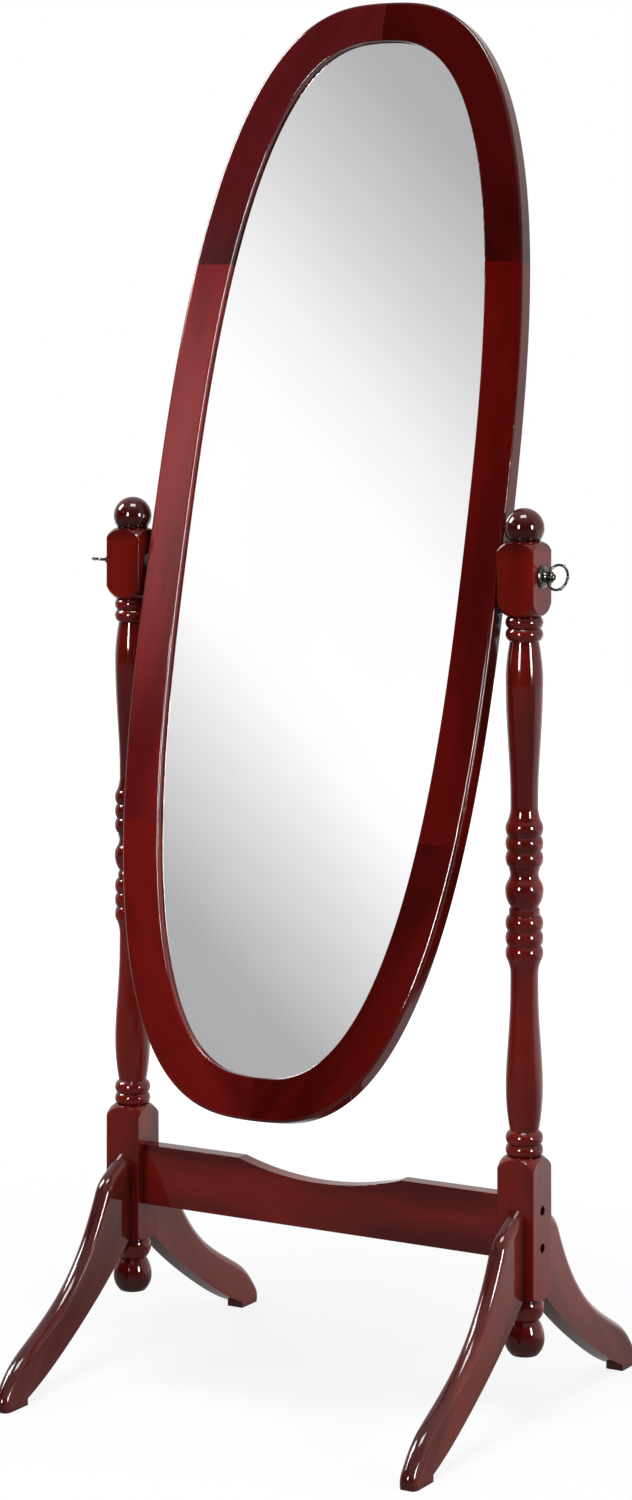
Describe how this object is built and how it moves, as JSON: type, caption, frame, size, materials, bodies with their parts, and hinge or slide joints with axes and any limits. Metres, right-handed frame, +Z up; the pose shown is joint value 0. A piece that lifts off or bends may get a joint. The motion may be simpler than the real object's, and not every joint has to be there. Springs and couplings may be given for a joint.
{
  "type": "cheval floor mirror",
  "caption": "Tall oval floor mirror in a wooden frame that tilts on thumb screws between two turned posts, standing on splayed sawn legs joined by a scooped stretcher.",
  "frame": {"origin": "on the floor midway between the posts, under the tilt axis", "axes": "+Z up the posts, +X from the left post to the right post seen from the front, -Y the way the glass faces"},
  "size_m": [0.5942, 0.5144, 1.506],
  "materials": {
    "cherry_stained_wood": "gloss lacquer over red-brown stain",
    "silvered_glass": "polished float glass, silvered behind",
    "hardboard": "raw pressed board",
    "bare_dowel": "raw beech",
    "antique_nickel": "dark plated casting, polished on the high spots",
    "black_steel": "blackened",
    "zinc_steel": "zinc plated",
    "brass": "machined",
    "nylon": "matte"
  },
  "bodies": {
    "stand": {"stretcher": "cherry_stained_wood", "post_left": "cherry_stained_wood", "leg_front_left": "cherry_stained_wood", "leg_dowels_front_left": "bare_dowel", "leg_rear_left": "cherry_stained_wood", "leg_dowels_rear_left": "bare_dowel", "stretcher_bolts_left": "black_steel", "barrel_nuts_left": "zinc_steel", "stretcher_dowel_left": "bare_dowel", "post_right": "cherry_stained_wood", "leg_front_right": "cherry_stained_wood", "leg_dowels_front_right": "bare_dowel", "leg_rear_right": "cherry_stained_wood", "leg_dowels_rear_right": "bare_dowel", "stretcher_bolts_right": "black_steel", "barrel_nuts_right": "zinc_steel", "stretcher_dowel_right": "bare_dowel"},
    "mirror": {"mirror_glass": "silvered_glass", "backing_board": "hardboard", "backing_screws": "zinc_steel", "frame_dowels": "bare_dowel", "threaded_insert_left": "brass", "pivot_spacer_left": "nylon", "frame_top_left": "cherry_stained_wood", "frame_bottom_left": "cherry_stained_wood", "frame_side_left": "cherry_stained_wood", "threaded_insert_right": "brass", "pivot_spacer_right": "nylon", "frame_top_right": "cherry_stained_wood", "frame_bottom_right": "cherry_stained_wood", "frame_side_right": "cherry_stained_wood"},
    "washer_left": {"post_washer_left": "antique_nickel"},
    "screw_left": {"thumb_screw_left": "antique_nickel"},
    "washer_right": {"post_washer_right": "antique_nickel"},
    "screw_right": {"thumb_screw_right": "antique_nickel"}
  },
  "joints": [
    {"name": "mirror_tilt", "type": "hinge", "parent": "stand", "child": "mirror", "pos_m": [0, 0, 0.884], "axis": [1, 0, 0], "continuous": true},
    {"name": "washer_travel_left", "type": "slide", "parent": "mirror", "child": "washer_left", "axis": [-1, 0, 0], "range_m": [0, 0.003]},
    {"name": "thumb_screw_turn_left", "type": "hinge", "parent": "washer_left", "child": "screw_left", "pos_m": [-0.27, 0, 0.884], "axis": [-1, 0, 0], "range_deg": [0, 1080]},
    {"name": "washer_travel_right", "type": "slide", "parent": "mirror", "child": "washer_right", "axis": [1, 0, 0], "range_m": [0, 0.003]},
    {"name": "thumb_screw_turn_right", "type": "hinge", "parent": "washer_right", "child": "screw_right", "pos_m": [0.27, 0, 0.884], "axis": [1, 0, 0], "range_deg": [0, 1080]}
  ],
  "couplings": [
    {"joint": "thumb_screw_turn_left", "follows": "washer_travel_left", "rad_per_m": 6283.2},
    {"joint": "thumb_screw_turn_right", "follows": "washer_travel_right", "rad_per_m": 6283.2}
  ]
}
